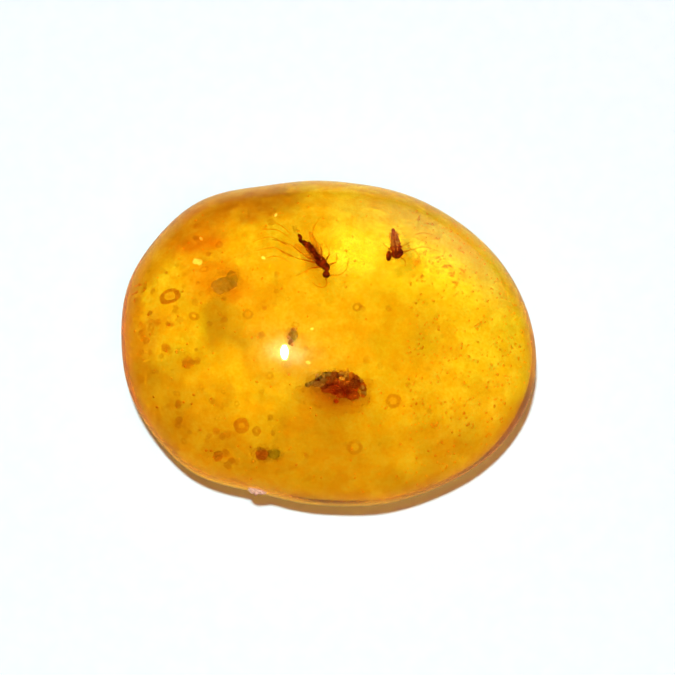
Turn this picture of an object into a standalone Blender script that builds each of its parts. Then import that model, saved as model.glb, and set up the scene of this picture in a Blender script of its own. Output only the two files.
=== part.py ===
"""An amber stone: a hand-polished lump of fossil resin with two insects and some plant debris sealed in it.

Run it with: blender --background --python part.py
Metres, +Z up. The origin is on the surface that the stone lies on, under the middle of its outline.
+X runs along the stone's length, and -Y is the side nearest the viewer.
"""

import math

import bmesh
import bpy
import numpy as np
from mathutils import Matrix, Vector, noise

MM = 0.001

# The stone's outline at its widest level, the girdle: its radius from the middle at evenly spaced
# headings, anticlockwise from +X. A Fourier series through them makes the smooth outline.
GIRDLE_RADII = [
    radius * MM
    for radius in (
        12.55, 12.05, 11.45, 10.85, 10.4, 10.05,  # the right end, round to the far side
        10.0, 10.2, 10.9, 11.8, 12.2, 12.5,  # the far side, and the blunt far left corner
        12.35, 12.2, 11.75, 11.25, 10.3, 9.9,  # the left end, and the straighter near left side
        9.95, 10.3, 10.8, 11.5, 12.25, 12.7,  # the near side, and the blunt right corner
    )
]
GIRDLE_HEIGHT = 3.2 * MM
DOME_RISE = 5.8 * MM  # from the girdle to the top
DOME_FULLNESS = 2.2  # 2 is an ellipse, and more is a fuller shoulder
APEX_SHIFT = Vector((-1.6 * MM, 0.2 * MM))  # the top stands off the middle
BELLY_DEPTH = 5.0 * MM  # how deep the rounded underside would reach, had its base not been ground flat
BELLY_FULLNESS = 2.4

SHARP_ANGLE = math.radians(40)
STONE_SEGMENTS = 72
DOME_RINGS = 14
BELLY_RINGS = 7

# The stone is parted in two at the level that the sealed things lie in, and each has a pocket there.
PARTING_HEIGHT = 4.2 * MM
PARTING_GAP = 0.3 * MM
LARGE_POCKET = 1.5 * MM  # a pocket that reaches further than this gets finer facets

# A small conchoidal chip in the near rim: the middle and radius of the ball that it is the print of.
CHIP_CENTRE = Vector((-4.25 * MM, -9.5 * MM, 3.4 * MM))
CHIP_RADIUS = 0.5 * MM

# (middle of the pocket, its half lengths), for each sealed thing by its node's name.
POCKETS = {
    "gnat": ((-1.15, 4.0), (2.95, 2.1, 0.85)),
    "small_fly": ((4.15, 4.9), (1.6, 1.45, 0.7)),
    "bark_fragment": ((0.45, -3.05), (2.45, 1.5, 1.0)),
    "seed_grain": ((-2.1, -0.2), (0.75, 0.8, 0.65)),
    "leaf_flake": ((-5.85, 2.75), (1.45, 1.15, 0.6)),
    "frass_pellets": ((-3.4, -6.6), (1.3, 0.85, 0.65)),
}

# Colour, metallic, roughness.
FINISHES = {
    "amber": ((0.86, 0.42, 0.03, 1.0), 0.0, 0.08),
    "insect": ((0.10, 0.02, 0.01, 1.0), 0.0, 0.45),
    "bark": ((0.30, 0.07, 0.02, 1.0), 0.0, 0.7),
    "seed": ((0.12, 0.09, 0.02, 1.0), 0.0, 0.6),
    "leaf": ((0.30, 0.33, 0.20, 1.0), 0.0, 0.7),
    "frass": ((0.22, 0.09, 0.03, 1.0), 0.0, 0.7),
}


def clear_scene():
    for obj in list(bpy.data.objects):
        bpy.data.objects.remove(obj, do_unlink=True)


def material(finish):
    """The named finish as a Principled material, made once."""
    found = bpy.data.materials.get(finish)
    if found:
        return found
    colour, metallic, roughness = FINISHES[finish]
    made = bpy.data.materials.new(finish)
    made.use_nodes = True
    shader = made.node_tree.nodes["Principled BSDF"]
    shader.inputs["Base Color"].default_value = colour
    shader.inputs["Metallic"].default_value = metallic
    shader.inputs["Roughness"].default_value = roughness
    made.diffuse_color = colour
    return made


def add_object(name, bm, finish=None):
    """The bmesh as a smooth-shaded object of the scene, with its faces turned outwards."""
    bmesh.ops.recalc_face_normals(bm, faces=bm.faces)
    mesh = bpy.data.meshes.new(name)
    bm.to_mesh(mesh)
    bm.free()
    mesh.shade_smooth()
    mesh.set_sharp_from_angle(angle=SHARP_ANGLE)
    obj = bpy.data.objects.new(name, mesh)
    bpy.context.scene.collection.objects.link(obj)
    if finish:
        mesh.materials.append(material(finish))
    return obj


def hide(helper):
    """Makes an object a helper, which a render leaves out."""
    helper.hide_render = True
    helper.display_type = "WIRE"
    return helper


def add_boolean(obj, operand, operation):
    modifier = obj.modifiers.new(f"{operation.lower()}_{operand.name}", "BOOLEAN")
    modifier.object = operand
    modifier.operation = operation
    modifier.solver = "EXACT"


# The stone


def outline_radius(heading):
    """The girdle's radius at a heading, from the Fourier series through GIRDLE_RADII."""
    count = len(GIRDLE_RADII)
    terms = np.fft.rfft(GIRDLE_RADII) / count
    waves = np.arange(len(terms))
    weights = np.where((waves == 0) | (waves == count // 2), 1, 2)
    return float(np.sum(weights * (terms * np.exp(1j * waves * heading)).real))


def outline_points(segments):
    """The girdle's points, moved so that the middle of their box is over the origin."""
    headings = [math.tau * i / segments for i in range(segments)]
    points = [Vector((math.cos(h), math.sin(h))) * outline_radius(h) for h in headings]
    middle = Vector([(min(p[k] for p in points) + max(p[k] for p in points)) / 2 for k in range(2)])
    return [p - middle for p in points]


def rise(share, fullness):
    """The height, from 0 to 1, of a rounded profile at a share of its radius."""
    return max(0.0, 1 - share**fullness) ** 0.5


def base_share():
    """The share of the girdle's radius at which the rounded underside meets the ground base."""
    return (1 - (GIRDLE_HEIGHT / BELLY_DEPTH) ** 2) ** (1 / BELLY_FULLNESS)


def stone_rings():
    """(share of the outline, height) of each ring, from the base up to just below the top."""
    rings = []
    for i in range(BELLY_RINGS):
        share = base_share() + (1 - base_share()) * math.sin(math.pi / 2 * i / BELLY_RINGS)
        rings.append((share, GIRDLE_HEIGHT - BELLY_DEPTH * rise(share, BELLY_FULLNESS)))
    for i in range(DOME_RINGS):
        share = math.cos(math.pi / 2 * i / DOME_RINGS)
        rings.append((share, GIRDLE_HEIGHT + DOME_RISE * rise(share, DOME_FULLNESS)))
    return rings


def ring_shift(share, height):
    """How far a ring's middle stands off the outline's, growing towards the top."""
    return APEX_SHIFT * (1 - share**2) * max(0.0, (height - GIRDLE_HEIGHT) / DOME_RISE)


def build_stone():
    """The whole stone as one closed bmesh: rings of points, a flat base and a top point."""
    outline = outline_points(STONE_SEGMENTS)
    bm = bmesh.new()
    rings = [
        [bm.verts.new((*(p * share + ring_shift(share, height)), height)) for p in outline]
        for share, height in stone_rings()
    ]
    top = bm.verts.new((*APEX_SHIFT, GIRDLE_HEIGHT + DOME_RISE))
    for i in range(STONE_SEGMENTS):
        j = (i + 1) % STONE_SEGMENTS
        for lower, upper in zip(rings, rings[1:]):
            bm.faces.new((lower[i], lower[j], upper[j], upper[i]))
        bm.faces.new((rings[-1][i], rings[-1][j], top))
    bm.faces.new(reversed(rings[0]))
    return bm


def add_half(name, height, keep_upper):
    """The part of the stone above or below a level, with its cut face closed."""
    bm = build_stone()
    cut = bmesh.ops.bisect_plane(
        bm,
        geom=[*bm.verts, *bm.edges, *bm.faces],
        plane_co=(0, 0, height),
        plane_no=(0, 0, 1),
        clear_inner=keep_upper,
        clear_outer=not keep_upper,
    )
    edges = [item for item in cut["geom_cut"] if isinstance(item, bmesh.types.BMEdge)]
    bmesh.ops.edgeloop_fill(bm, edges=edges)
    return add_object(name, bm, "amber")


def pocket_middle(name):
    x, y = POCKETS[name][0]
    return Vector((x * MM, y * MM, PARTING_HEIGHT))


def add_pocket(name):
    radii = [r * MM for r in POCKETS[name][1]]
    bm = bmesh.new()
    place = Matrix.LocRotScale(pocket_middle(name), None, Vector(radii))
    subdivisions = 3 if max(radii) > LARGE_POCKET else 2
    bmesh.ops.create_icosphere(bm, subdivisions=subdivisions, radius=1, matrix=place)
    return hide(add_object(f"{name}_pocket", bm))


def add_chip():
    bm = bmesh.new()
    place = Matrix.Translation(CHIP_CENTRE)
    bmesh.ops.create_icosphere(bm, subdivisions=2, radius=CHIP_RADIUS, matrix=place)
    return hide(add_object("rim_chip", bm))


def add_stone():
    dome = add_half("amber_dome", PARTING_HEIGHT + PARTING_GAP / 2, keep_upper=True)
    base = add_half("amber_base", PARTING_HEIGHT - PARTING_GAP / 2, keep_upper=False)
    for name in POCKETS:
        pocket = add_pocket(name)
        add_boolean(dome, pocket, "DIFFERENCE")
        add_boolean(base, pocket, "DIFFERENCE")
    add_boolean(base, add_chip(), "DIFFERENCE")


# Shapes that the sealed things are made of. Each is a closed bmesh in millimetres, in its thing's own frame.


def ball(centre, radii, turn=0.0, segments=12, rings=8):
    """An ellipsoid, with its own X turned anticlockwise by so many degrees."""
    bm = bmesh.new()
    rotation = Matrix.Rotation(math.radians(turn), 3, "Z") @ Matrix.Rotation(math.pi / 2, 3, "Y")
    # The sphere's poles lie along its length, so its radii are given in the order of the turned axes.
    across_z, across_y, along = radii[2], radii[1], radii[0]
    place = Matrix.LocRotScale(Vector(centre), rotation, Vector((across_z, across_y, along)))
    bmesh.ops.create_uvsphere(bm, u_segments=segments, v_segments=rings, radius=1, matrix=place)
    return bm


def limb(points, start_radius, end_radius, sides=5):
    """A tapering tube through the points."""
    points = [Vector(p) for p in points]
    bm = bmesh.new()
    rings = []
    for i, point in enumerate(points):
        before = points[max(i - 1, 0)]
        after = points[min(i + 1, len(points) - 1)]
        turn = (after - before).to_track_quat("Z", "Y")
        radius = start_radius + (end_radius - start_radius) * i / (len(points) - 1)
        angles = [math.tau * k / sides for k in range(sides)]
        rings.append(
            [bm.verts.new(point + turn @ Vector((math.cos(a), math.sin(a), 0)) * radius) for a in angles]
        )
    for lower, upper in zip(rings, rings[1:]):
        for k in range(sides):
            m = (k + 1) % sides
            bm.faces.new((lower[k], lower[m], upper[m], upper[k]))
    bm.faces.new(reversed(rings[0]))
    bm.faces.new(rings[-1])
    return bm


def wing(root, heading, length, width, height, tilt=0.0, thickness=0.02, points=14):
    """A thin blade, narrow at its root and round at its tip, that runs along a heading in degrees."""
    bm = bmesh.new()
    outline = []
    for i in range(points):
        angle = math.tau * i / points
        along = (1 - math.cos(angle)) / 2
        across = math.sin(angle) / 2 * along**0.5
        outline.append(bm.verts.new((along * length, across * width, 0)))
    face = bm.faces.new(outline)
    grown = bmesh.ops.extrude_face_region(bm, geom=[face])["geom"]
    raised = [item for item in grown if isinstance(item, bmesh.types.BMVert)]
    bmesh.ops.translate(bm, verts=raised, vec=(0, 0, thickness))
    rotation = Matrix.Rotation(math.radians(heading), 3, "Z") @ Matrix.Rotation(math.radians(tilt), 3, "Y")
    place = Matrix.LocRotScale(Vector((*root, height)), rotation, None)
    bmesh.ops.transform(bm, matrix=place, verts=bm.verts)
    return bm


def add_fused(name, shapes, finish, turn=0.0):
    """Joins the shapes into one solid in the middle of the thing's pocket, turned by so many degrees."""
    place = Matrix.LocRotScale(
        pocket_middle(name), Matrix.Rotation(math.radians(turn), 3, "Z"), Vector((MM, MM, MM))
    )
    for bm in shapes:
        bmesh.ops.transform(bm, matrix=place, verts=bm.verts)
    obj = add_object(name, shapes[0], finish)
    for number, bm in enumerate(shapes[1:], 1):
        add_boolean(obj, hide(add_object(f"{name}_shape_{number}", bm)), "UNION")
    return obj


# The sealed things. Each function works in millimetres from the middle of the thing's pocket. An insect's
# own +X runs from its tail to its head, and its node is then turned to the way that it lies.


def add_gnat():
    """A slender gnat: a narrow waisted abdomen, long hind legs and long antennae that sweep back."""
    spine = 0.5  # the body lies to one side of the pocket's middle, as its legs reach further on the other
    body = [
        ball((-1.2, spine, 0), (0.29, 0.12, 0.12), turn=-12),
        ball((-0.66, spine - 0.02, 0), (0.36, 0.14, 0.14), turn=8),
        ball((-0.22, spine, 0.02), (0.38, 0.22, 0.21)),
        ball((0.22, spine + 0.02, 0.02), (0.4, 0.28, 0.26), turn=10),
        ball((0.68, spine + 0.11, 0.04), (0.4, 0.27, 0.3), turn=10),
        ball((0.98, spine + 0.0, 0.02), (0.2, 0.1, 0.1), turn=-40, segments=8, rings=6),
        ball((1.17, spine - 0.25, 0), (0.2, 0.2, 0.2), turn=-50, rings=6),
    ]
    near_legs = [
        [(0.4, 0.4, -0.1), (-0.25, 0.0, 0.15), (-1.5, -0.3, 0.1), (-2.3, -0.88, 0)],
        [(0.55, 0.45, -0.15), (-0.4, -0.35, -0.05), (-1.8, -1.05, 0)],
        [(0.7, 0.45, -0.15), (0.3, -0.15, -0.3), (0.25, -0.6, -0.1), (0.15, -1.1, -0.1)],
    ]
    far_legs = [
        [(0.4, 0.65, -0.1), (-0.15, 1.0, 0.15), (-0.7, 0.95, 0.1), (-1.15, 1.15, 0)],
        [(0.6, 0.75, -0.15), (0.3, 1.2, -0.05), (-0.4, 1.35, 0)],
        [(0.8, 0.75, -0.15), (0.95, 1.15, -0.2), (0.6, 1.45, -0.1)],
    ]
    antennae = [
        [(1.22, 0.32, 0), (1.58, 0.76, 0.05), (1.68, 1.08, 0.05), (1.6, 1.4, 0), (1.33, 1.75, 0)],
        [(1.22, 0.2, 0), (1.6, -0.05, 0.05), (1.6, -0.32, 0.05), (1.35, -0.52, 0), (1.02, -0.6, 0)],
    ]
    limbs = [limb(points, 0.05, 0.03) for points in near_legs + far_legs]
    limbs += [limb(points, 0.035, 0.025) for points in antennae]
    wings = [
        wing((0.5, 0.5), heading=197, length=2.05, width=0.8, height=0.16, tilt=3),
        wing((0.5, 0.68), heading=168, length=1.95, width=0.75, height=0.16, tilt=3),
    ]
    add_fused("gnat", body + limbs + wings, "insect", turn=-51)


def add_small_fly():
    """A small fly with its wings folded over its pointed abdomen, and its head bent aside."""
    spine = -0.42
    body = [
        ball((-0.45, spine, 0), (0.6, 0.17, 0.16)),
        ball((-0.05, spine + 0.02, 0), (0.4, 0.26, 0.22)),
        ball((0.32, spine - 0.02, 0.02), (0.32, 0.27, 0.26)),
        ball((0.42, spine - 0.48, 0), (0.3, 0.14, 0.17), turn=-10),
        ball((0.36, spine - 0.26, 0), (0.2, 0.12, 0.12), turn=90, segments=8, rings=6),
    ]
    legs = [
        [(0.35, -0.25, -0.1), (0.28, 0.16, 0), (0.22, 0.55, 0.05), (0.44, 0.74, 0), (0.78, 0.84, 0)],
        [(0.2, -0.25, -0.1), (-0.1, 0.1, -0.1), (-0.25, 0.45, 0)],
        [(0.5, -0.3, -0.1), (0.7, -0.05, -0.1), (0.95, 0.0, 0)],
        [(0.15, -0.6, -0.1), (-0.1, -0.95, -0.1), (-0.35, -1.1, 0)],
    ]
    wings = [
        wing((0.2, spine + 0.1), heading=174, length=1.15, width=0.42, height=0.17, tilt=4),
        wing((0.2, spine - 0.1), heading=186, length=1.15, width=0.42, height=0.17, tilt=4),
    ]
    add_fused("small_fly", body + [limb(points, 0.045, 0.03) for points in legs] + wings, "insect", turn=-82)


def crumb(centre, radii, roughness, seed, subdivisions=3, droop=0.0, turn=0.0):
    """A ball roughened by noise, whose ends droop towards -Y by so much for each square of length."""
    bm = bmesh.new()
    bmesh.ops.create_icosphere(bm, subdivisions=subdivisions, radius=1)
    offset = Vector((seed * 7.3, seed * 3.1, seed * 5.7))
    for vert in bm.verts:
        bump = noise.noise(vert.co * 1.7 + offset) + 0.5 * noise.noise(vert.co * 4.1 + offset)
        size = 1 + roughness * bump
        vert.co = Vector([vert.co[k] * radii[k] * size for k in range(3)])
        vert.co.y -= droop * vert.co.x**2
    place = Matrix.Translation(centre) @ Matrix.Rotation(math.radians(turn), 4, "Z")
    bmesh.ops.transform(bm, matrix=place, verts=bm.verts)
    return bm


def add_bark_fragment():
    """An arched lump of bark, with a crumbled foot under its middle and a hooked end."""
    shapes = [
        crumb((0.0, 0.35, 0.05), (1.75, 0.42, 0.48), 0.3, seed=1, droop=0.2),
        crumb((-0.1, -0.25, -0.05), (0.95, 0.5, 0.4), 0.35, seed=2, subdivisions=2),
        crumb((1.0, -0.15, 0.0), (0.35, 0.62, 0.4), 0.3, seed=3, subdivisions=2, turn=15),
    ]
    add_fused("bark_fragment", shapes, "bark")


def add_seed_grain():
    """A round grain with a narrow stalk end."""
    shapes = [
        crumb((0.05, 0.05, 0), (0.31, 0.3, 0.28), 0.15, seed=4, subdivisions=2),
        crumb((-0.12, -0.35, -0.02), (0.13, 0.25, 0.13), 0.15, seed=5, subdivisions=2, turn=25),
    ]
    add_fused("seed_grain", shapes, "seed")


def add_leaf_flake():
    """A thin scrap of leaf, a little curled and torn at its edge."""
    shape = crumb((0, 0, 0), (0.85, 0.6, 0.09), 0.25, seed=6, droop=0.05)
    for vert in shape.verts:
        vert.co.z += 0.22 * vert.co.x**2 - 0.1
    add_fused("leaf_flake", [shape], "leaf", turn=12)


def add_frass_pellets():
    """Two insect droppings stuck together."""
    shapes = [
        crumb((-0.36, -0.02, 0), (0.47, 0.39, 0.34), 0.2, seed=7, subdivisions=2),
        crumb((0.38, 0.02, 0), (0.45, 0.31, 0.3), 0.2, seed=8, subdivisions=2),
    ]
    add_fused("frass_pellets", shapes, "frass")


clear_scene()
add_stone()
add_gnat()
add_small_fly()
add_bark_fragment()
add_seed_grain()
add_leaf_flake()
add_frass_pellets()
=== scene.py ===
"""Looks for the amber stone: clear resin with its flow clouds and bubbles, the insects and plant debris
sealed in it, and a pale floor under soft light.

Shapes are worked out in millimetres and scaled to metres as they become objects.
"""

import math
import random

import bmesh
import bpy
import numpy as np
from mathutils import Matrix, Vector, noise


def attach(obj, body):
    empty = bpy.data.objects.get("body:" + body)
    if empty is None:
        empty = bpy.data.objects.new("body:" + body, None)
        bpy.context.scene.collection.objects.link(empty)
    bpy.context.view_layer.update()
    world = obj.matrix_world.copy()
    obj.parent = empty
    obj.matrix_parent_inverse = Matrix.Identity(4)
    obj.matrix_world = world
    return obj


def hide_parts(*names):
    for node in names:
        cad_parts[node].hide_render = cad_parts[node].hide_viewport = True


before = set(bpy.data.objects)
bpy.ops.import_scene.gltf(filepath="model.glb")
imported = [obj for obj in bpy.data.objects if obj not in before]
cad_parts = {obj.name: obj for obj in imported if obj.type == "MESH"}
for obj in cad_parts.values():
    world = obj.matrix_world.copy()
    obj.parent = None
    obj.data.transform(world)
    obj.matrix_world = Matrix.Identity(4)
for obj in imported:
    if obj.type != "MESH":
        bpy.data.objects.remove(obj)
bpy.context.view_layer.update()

MM = 0.001

# The stone's surface, from the same dimensions as its solids, in millimetres.
GIRDLE_RADII = [
    12.55, 12.05, 11.45, 10.85, 10.4, 10.05,
    10.0, 10.2, 10.9, 11.8, 12.2, 12.5,
    12.35, 12.2, 11.75, 11.25, 10.3, 9.9,
    9.95, 10.3, 10.8, 11.5, 12.25, 12.7,
]
GIRDLE_HEIGHT = 3.2
DOME_RISE = 5.8
DOME_FULLNESS = 2.2
APEX_SHIFT = Vector((-1.6, 0.2))
BELLY_DEPTH = 5.0
BELLY_FULLNESS = 2.4
STONE_SEGMENTS = 384
BASE_RINGS = 8
BELLY_RINGS = 30
DOME_RINGS = 100
SURFACE_WAVES = ((0.08, 0.012), (0.5, 0.0002))  # (waves per millimetre, height) of the hand polish
CHIP_CENTRE = Vector((-4.25, -9.5, 3.4))
CHIP_RADIUS = 0.5

PARTING = 3.2  # the skin is tinted in patches above this level only

AMBER_IOR = 1.54
ABSORPTION_COLOUR = (1.0, 0.87, 0.03, 1.0)
ABSORPTION_DENSITY = 200.0  # per metre

# The middle of each sealed thing's pocket.
LEVEL = 4.2
POCKETS = {
    "gnat": (-1.15, 4.0),
    "small_fly": (4.15, 4.9),
    "bark_fragment": (0.45, -3.05),
    "seed_grain": (-2.1, -0.2),
    "leaf_flake": (-5.85, 2.75),
    "frass_pellets": (-3.4, -6.6),
}
TURNS = {"gnat": -51, "small_fly": -82, "leaf_flake": 12}  # about Z, in degrees

# Stained resin round the sealed things: the pocket, middle, half lengths and turn of each lump. No two lumps of
# one stain overlap.
BROWN_STAIN = [
    ("bark_fragment", (0.05, -0.2, -0.05), (2.1, 1.15, 0.42), -6),
    ("gnat", (0.1, 0.4, 0.0), (1.0, 0.55, 0.36), 0),
    ("small_fly", (0.3, -0.42, 0.0), (0.45, 0.6, 0.36), 0),
    ("seed_grain", (-0.08, -0.02, 0.0), (0.4, 0.55, 0.26), 0),
    ("frass_pellets", (-0.4, 0.0, 0.0), (0.62, 0.52, 0.36), 0),
]
OLIVE_STAIN = [
    ("leaf_flake", (0.05, 0.02, 0.0), (1.05, 0.7, 0.26), 10),
    ("frass_pellets", (0.46, 0.02, 0.0), (0.48, 0.44, 0.34), 0),
    ("bark_fragment", (-1.0, 0.3, 0.1), (1.0, 0.5, 0.2), 28),
]

# Old bubbles that have filled with darker resin: (x, y), half lengths, depth, turn, and how much of each is hollow.
CELLS = [
    ((-4.98, -5.1), (0.46, 0.42), 0.22, 0, 0.4),
    ((3.63, -3.85), (0.44, 0.42), 0.17, 0, 0.5),
    ((1.55, 1.4), (0.28, 0.27), 0.15, 0, 0.45),
    ((1.5, -6.4), (0.46, 0.42), 0.12, 0, 0.5),
    ((-4.1, -5.4), (0.28, 0.26), 0.2, 0, 0.25),
    ((-6.35, -6.9), (0.3, 0.24), 0.36, 30, 0.2),
    ((-3.38, -2.4), (0.24, 0.22), 0.11, 0, 0.45),
    ((-1.32, -0.95), (0.14, 0.13), 0.14, 0, 0.0),
    ((-8.9, 2.15), (0.64, 0.43), 0.34, 12, 0.5),
    ((-8.9, 2.15), (0.28, 0.18), 0.1, 12, 0.0),
    ((-9.1, -0.78), (0.27, 0.24), 0.2, 0, 0.0),
    ((-7.87, -1.61), (0.38, 0.34), 0.2, 20, 0.0),
    ((-8.84, 0.56), (0.26, 0.2), 0.18, 0, 0.0),
    ((-8.32, 0.79), (0.24, 0.2), 0.12, 0, 0.0),
    ((-7.54, 0.96), (0.3, 0.24), 0.18, -30, 0.3),
    ((-10.0, 0.75), (0.22, 0.18), 0.2, 0, 0.35),
    ((-9.62, 0.7), (0.24, 0.22), 0.2, 0, 0.0),
    ((-10.05, 1.3), (0.2, 0.16), 0.18, 30, 0.0),
    ((-7.02, 3.57), (0.3, 0.17), 0.18, 8, 0.45),
    ((-6.77, 4.46), (0.15, 0.13), 0.26, 0, 0.0),
    ((-6.2, 5.0), (0.22, 0.2), 0.16, 0, 0.3),
    ((-7.33, 2.8), (0.12, 0.1), 0.16, 0, 0.0),
    ((-8.42, -0.97), (0.12, 0.1), 0.2, 0, 0.0),
    ((-7.41, -0.92), (0.1, 0.09), 0.2, 0, 0.0),
    ((-3.83, -0.18), (0.2, 0.2), 0.16, 0, 0.0),
    ((-4.6, 1.0), (0.3, 0.27), 0.14, 0, 0.5),
    ((-5.9, 1.9), (0.14, 0.12), 0.16, 0, 0.0),
    ((-9.93, 2.57), (0.2, 0.14), 0.2, 60, 0.0),
    ((-10.5, 2.75), (0.12, 0.42), 0.2, -14, 0.0),
    ((-3.3, 6.2), (0.25, 0.2), 0.14, 0, 0.0),
    ((-7.45, 6.2), (0.24, 0.18), 0.12, 0, 0.0),
    ((-7.5, 5.5), (0.2, 0.17), 0.14, 0, 0.0),
    ((-3.05, 2.3), (0.14, 0.12), 0.14, 0, 0.0),
    ((-3.7, 1.35), (0.14, 0.13), 0.14, 0, 0.0),
    ((-5.9, 0.7), (0.2, 0.17), 0.1, 0, 0.0),
    ((-6.7, 0.5), (0.18, 0.15), 0.1, 0, 0.0),
]
# Smaller ones lie in crowds: middle, half lengths, and how many.
CROWDS = [((-9.2, 1.0), (1.9, 3.6), 44), ((-6.4, -5.0), (3.6, 2.6), 34), ((-1.0, 0.0), (9.0, 7.0), 46)]
# Small round cracks, drawn with a painted glint that glows faintly: (x, y, z), radius.
SPARKS = [
    ((-7.45, 4.0, 5.0), 0.25),
    ((-7.3, 3.92, 5.02), 0.16),
    ((-7.58, 4.06, 5.04), 0.12),
    ((-3.78, 4.1, 5.2), 0.12),
    ((-0.99, 0.0, 5.4), 0.1),
    ((-3.08, 6.65, 5.2), 0.11),
    ((-7.3, 5.4, 5.2), 0.11),
    ((-1.2, -1.95, 5.6), 0.14),
]


# Meshes


def link(obj):
    bpy.context.scene.collection.objects.link(obj)
    return obj


def mesh_object(name, bm, materials=()):
    """The bmesh, in millimetres, as a smooth-shaded object in metres."""
    bmesh.ops.scale(bm, vec=(MM, MM, MM), verts=bm.verts)
    mesh = bpy.data.meshes.new(name)
    bm.to_mesh(mesh)
    bm.free()
    mesh.shade_smooth()
    for item in materials:
        mesh.materials.append(item)
    return link(bpy.data.objects.new(name, mesh))


def piece(name, bm, materials, replaced=()):
    """A piece of the stone: it rides on the one body, and takes its finish from a slot."""
    obj = mesh_object(name, bm, materials)
    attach(obj, "root")
    if replaced:
        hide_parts(*replaced)
    return obj


def pocket_place(name):
    """From a sealed thing's own frame to the stone's."""
    turn = math.radians(TURNS.get(name, 0))
    return Matrix.Translation((*POCKETS[name], LEVEL)) @ Matrix.Rotation(turn, 4, "Z")


def add_ball(bm, centre, radii, turn=0.0, tilt=0.0, rough=0.0, grain=3.0, seed=0, material=0, subdivisions=4):
    """An ellipsoid, turned about Z and tilted about its own Y, with its surface roughened by noise."""
    made = bmesh.ops.create_icosphere(bm, subdivisions=subdivisions, radius=1)["verts"]
    offset = Vector((seed * 7.3, seed * 3.1, seed * 5.7))
    rotation = Matrix.Rotation(math.radians(turn), 3, "Z") @ Matrix.Rotation(math.radians(tilt), 3, "Y")
    for vert in made:
        size = 1.0
        if rough:
            size += rough * noise.fractal(vert.co * grain + offset, 0.8, 2.1, 4)
        vert.co = Vector(centre) + rotation @ Vector([vert.co[k] * radii[k] * size for k in range(3)])
    paint(made, material)
    return made


def paint(verts, material):
    for face in {face for vert in verts for face in vert.link_faces}:
        face.material_index = material


def smooth_path(points, steps):
    """A Catmull-Rom curve through the points, with so many steps from each to the next."""
    points = [Vector(p) for p in points]
    ends = [2 * points[0] - points[1], *points, 2 * points[-1] - points[-2]]
    path = []
    for i in range(len(points) - 1):
        a, b, c, d = ends[i : i + 4]
        for k in range(steps):
            t = k / steps
            path.append(
                0.5 * (2 * b + (c - a) * t + (2 * a - 5 * b + 4 * c - d) * t**2 + (3 * b - a - 3 * c + d) * t**3)
            )
    return [*path, points[-1]]


def add_tube(bm, path, radius_at, sides=8, material=0):
    """A tube along the path, whose radius is a function of the share of its length."""
    rings = []
    for i, point in enumerate(path):
        before = path[max(i - 1, 0)]
        after = path[min(i + 1, len(path) - 1)]
        turn = (after - before).to_track_quat("Z", "Y")
        radius = radius_at(i / (len(path) - 1))
        angles = [math.tau * k / sides for k in range(sides)]
        rings.append(
            [bm.verts.new(point + turn @ Vector((math.cos(a), math.sin(a), 0)) * radius) for a in angles]
        )
    for lower, upper in zip(rings, rings[1:]):
        for k in range(sides):
            m = (k + 1) % sides
            bm.faces.new((lower[k], lower[m], upper[m], upper[k]))
    bm.faces.new(reversed(rings[0]))
    bm.faces.new(rings[-1])
    verts = [vert for ring in rings for vert in ring]
    paint(verts, material)
    return verts


def add_hair(bm, root, direction, length, radius=0.006, material=0):
    """A bristle: a thin three-sided spike with a slight bend."""
    tip = root + direction * length + Vector((0, 0, 0.12 * length))
    middle = root + direction * length * 0.55
    return add_tube(bm, [root, middle, tip], lambda t: radius * (1 - 0.8 * t), sides=3, material=material)


# The clear stone


def outline_radius(heading):
    """The girdle's radius at a heading, from the Fourier series through GIRDLE_RADII."""
    count = len(GIRDLE_RADII)
    terms = np.fft.rfft(GIRDLE_RADII) / count
    waves = np.arange(len(terms))
    weights = np.where((waves == 0) | (waves == count // 2), 1, 2)
    return float(np.sum(weights * (terms * np.exp(1j * waves * heading)).real))


def outline_points(segments):
    headings = [math.tau * i / segments for i in range(segments)]
    points = [Vector((math.cos(h), math.sin(h))) * outline_radius(h) for h in headings]
    middle = Vector([(min(p[k] for p in points) + max(p[k] for p in points)) / 2 for k in range(2)])
    return [p - middle for p in points]


def rise(share, fullness):
    return max(0.0, 1 - share**fullness) ** 0.5


def base_share():
    return (1 - (GIRDLE_HEIGHT / BELLY_DEPTH) ** 2) ** (1 / BELLY_FULLNESS)


def stone_rings():
    """(share of the outline, height) of each ring, from the middle of the base up to just below the top."""
    rings = [(base_share() * (i + 1) / (BASE_RINGS + 1), 0.0) for i in range(BASE_RINGS)]
    for i in range(BELLY_RINGS):
        share = base_share() + (1 - base_share()) * math.sin(math.pi / 2 * i / BELLY_RINGS)
        rings.append((share, GIRDLE_HEIGHT - BELLY_DEPTH * rise(share, BELLY_FULLNESS)))
    for i in range(DOME_RINGS):
        share = math.cos(math.pi / 2 * i / DOME_RINGS)
        rings.append((share, GIRDLE_HEIGHT + DOME_RISE * rise(share, DOME_FULLNESS)))
    return rings


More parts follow.
